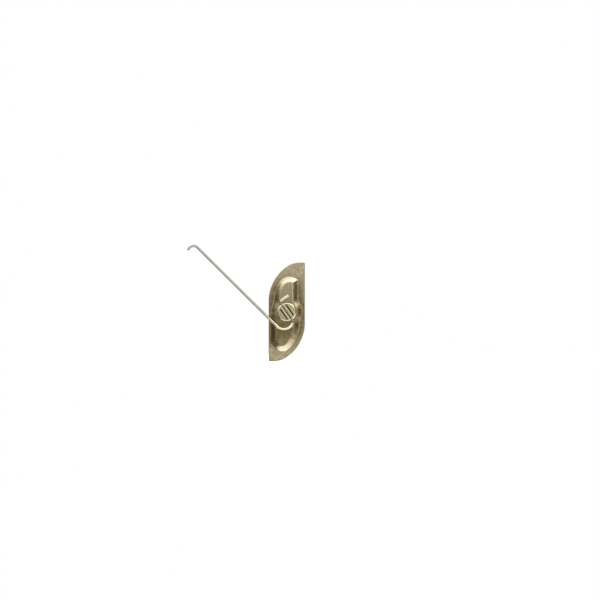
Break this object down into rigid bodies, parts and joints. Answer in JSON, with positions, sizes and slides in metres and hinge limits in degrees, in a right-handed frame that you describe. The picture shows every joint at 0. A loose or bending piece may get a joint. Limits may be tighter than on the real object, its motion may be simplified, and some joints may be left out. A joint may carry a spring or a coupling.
{
  "type": "spring-arm T-bolt clip",
  "caption": "Trim T-bolt clip: a stamped locking plate on a short threaded stud, with a long flexing spring-wire arm held in the stud's slotted head.",
  "frame": {"origin": "on the stud's axis, in the plane of the plate's back face, where the clip seats on a panel", "axes": "+Y back along the stud, away from the head; +Z along the plate's length; +X across the plate, with the spring arm reaching to -X and +Z"},
  "size_m": [0.042, 0.0187, 0.0417],
  "materials": {
    "plate_steel": "zinc plated, yellow passivated, satin",
    "stud_steel": "zinc plated, yellow passivated, bright",
    "wire_steel": "drawn spring wire, zinc plated"
  },
  "bodies": {
    "clip": {"locking_plate": "plate_steel", "threaded_stud": "stud_steel", "spring_wire_root": "wire_steel"},
    "arm": {"spring_wire_arm": "wire_steel"}
  },
  "joints": [
    {"name": "arm_flex", "type": "hinge", "parent": "clip", "child": "arm", "pos_m": [0.00195, -0.00203, -0.00284], "axis": [0, 1, 0], "range_deg": [-15, 17], "stiffness_Nm_per_rad": 0.41}
  ]
}
